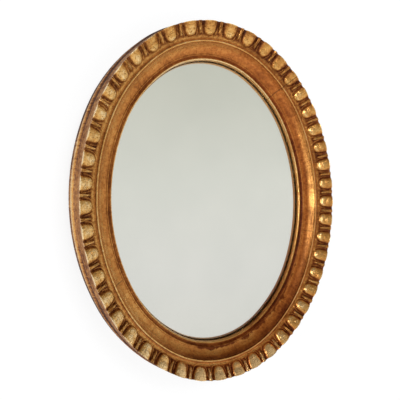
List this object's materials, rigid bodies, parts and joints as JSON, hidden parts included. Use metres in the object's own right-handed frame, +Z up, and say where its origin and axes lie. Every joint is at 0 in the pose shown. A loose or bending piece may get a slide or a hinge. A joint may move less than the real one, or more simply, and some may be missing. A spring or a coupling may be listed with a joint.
{
  "type": "oval mirror",
  "caption": "Oval wall mirror in a carved and gilded wooden frame with egg-and-dart moulding, a swinging hanger ring and turn buttons that hold the back.",
  "frame": {"origin": "centre of the oval on the wall plane, where the rear faces of the felt pads touch the wall", "axes": "+Z up, the front of the mirror faces -Y, the wall is at +Y, +X to the right of someone who looks into the glass"},
  "size_m": [0.35, 0.0489, 0.45],
  "materials": {
    "gilded_wood": "worn gold leaf over carved wood, brown in the hollows",
    "bare_wood": "raw",
    "silvered_glass": "polished glass with a silvered back",
    "card": "matte grey-brown card",
    "plywood": "thin plywood, unvarnished",
    "steel": "dull zinc-plated",
    "brass": "tarnished",
    "felt": "dense dark felt"
  },
  "bodies": {
    "frame": {"frame_segment_top": "gilded_wood", "frame_segment_right": "gilded_wood", "frame_segment_bottom": "gilded_wood", "frame_segment_left": "gilded_wood", "joint_spline_upper_right": "bare_wood", "joint_spline_lower_right": "bare_wood", "joint_spline_lower_left": "bare_wood", "joint_spline_upper_left": "bare_wood", "mirror_glass": "silvered_glass", "backing_card": "card", "backboard": "plywood", "turn_button_screws": "steel", "hanger_plate": "brass", "hanger_screws": "brass", "wall_pad_right": "felt", "wall_pad_left": "felt"},
    "hanger_ring": {"hanger_ring": "brass"},
    "turn_button_1": {"turn_button_1": "steel"},
    "turn_button_2": {"turn_button_2": "steel"},
    "turn_button_3": {"turn_button_3": "steel"},
    "turn_button_4": {"turn_button_4": "steel"},
    "turn_button_5": {"turn_button_5": "steel"},
    "turn_button_6": {"turn_button_6": "steel"}
  },
  "joints": [
    {"name": "ring_swing", "type": "hinge", "parent": "frame", "child": "hanger_ring", "pos_m": [0, -0.0028, 0.20345], "axis": [1, 0, 0], "range_deg": [0, 180]},
    {"name": "turn_button_1_spin", "type": "hinge", "parent": "frame", "child": "turn_button_1", "pos_m": [0.06701, -0.006, 0.17423], "axis": [0, 1, 0], "continuous": true},
    {"name": "turn_button_2_spin", "type": "hinge", "parent": "frame", "child": "turn_button_2", "pos_m": [0.146, -0.006, 0], "axis": [0, 1, 0], "continuous": true},
    {"name": "turn_button_3_spin", "type": "hinge", "parent": "frame", "child": "turn_button_3", "pos_m": [0.06701, -0.006, -0.17423], "axis": [0, 1, 0], "continuous": true},
    {"name": "turn_button_4_spin", "type": "hinge", "parent": "frame", "child": "turn_button_4", "pos_m": [-0.06701, -0.006, -0.17423], "axis": [0, 1, 0], "continuous": true},
    {"name": "turn_button_5_spin", "type": "hinge", "parent": "frame", "child": "turn_button_5", "pos_m": [-0.146, -0.006, 0], "axis": [0, 1, 0], "continuous": true},
    {"name": "turn_button_6_spin", "type": "hinge", "parent": "frame", "child": "turn_button_6", "pos_m": [-0.06701, -0.006, 0.17423], "axis": [0, 1, 0], "continuous": true}
  ]
}
